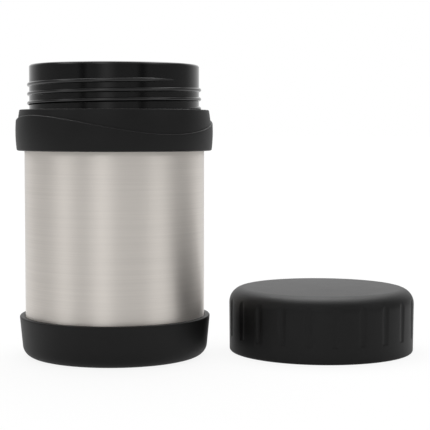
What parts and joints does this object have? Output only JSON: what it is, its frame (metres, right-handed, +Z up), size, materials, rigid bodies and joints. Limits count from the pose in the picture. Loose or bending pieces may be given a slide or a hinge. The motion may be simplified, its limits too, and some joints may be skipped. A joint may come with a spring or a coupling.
{
  "type": "insulated food jar",
  "caption": "Double-walled steel food jar with a black threaded neck, a wavy collar and a base cup; its fluted screw lid stands beside it.",
  "frame": {"origin": "centre of the jar's flat underside, on its axis, where it stands", "axes": "+Z up along the jar's axis; -Y towards the picture's viewer; the lid stands at +X"},
  "size_m": [0.1846, 0.0968, 0.1329],
  "materials": {
    "brushed_steel": "brushed round the body",
    "inner_steel": "satin",
    "seal_glass": "clear",
    "getter_metal": "sintered, dull",
    "foil": "bright foil",
    "gloss_black": "polished",
    "matte_black": "fine matte grain",
    "inner_black": "smooth moulded",
    "silicone": "soft, translucent grey",
    "foam": "closed-cell foam"
  },
  "bodies": {
    "jar": {"outer_shell": "brushed_steel", "inner_liner": "inner_steel", "shell_base": "inner_steel", "vacuum_seal": "seal_glass", "getter": "getter_metal", "getter_clip": "inner_steel", "foil_wrap": "foil", "neck_ring": "gloss_black", "neck_seal": "silicone", "collar": "matte_black", "base_cup": "matte_black", "base_bond": "silicone"},
    "lid_ring": {"lid_seal": "silicone"},
    "lid": {"lid_shell": "matte_black", "lid_liner": "inner_black", "lid_foam": "foam"}
  },
  "joints": [
    {"name": "lid_lift", "type": "slide", "parent": "jar", "child": "lid_ring", "axis": [0, 0, 1], "range_m": [0, 0.16]},
    {"name": "lid_turn", "type": "hinge", "parent": "lid_ring", "child": "lid", "pos_m": [0.09641, 0.00856, 0], "axis": [0, 0, 1], "continuous": true}
  ]
}
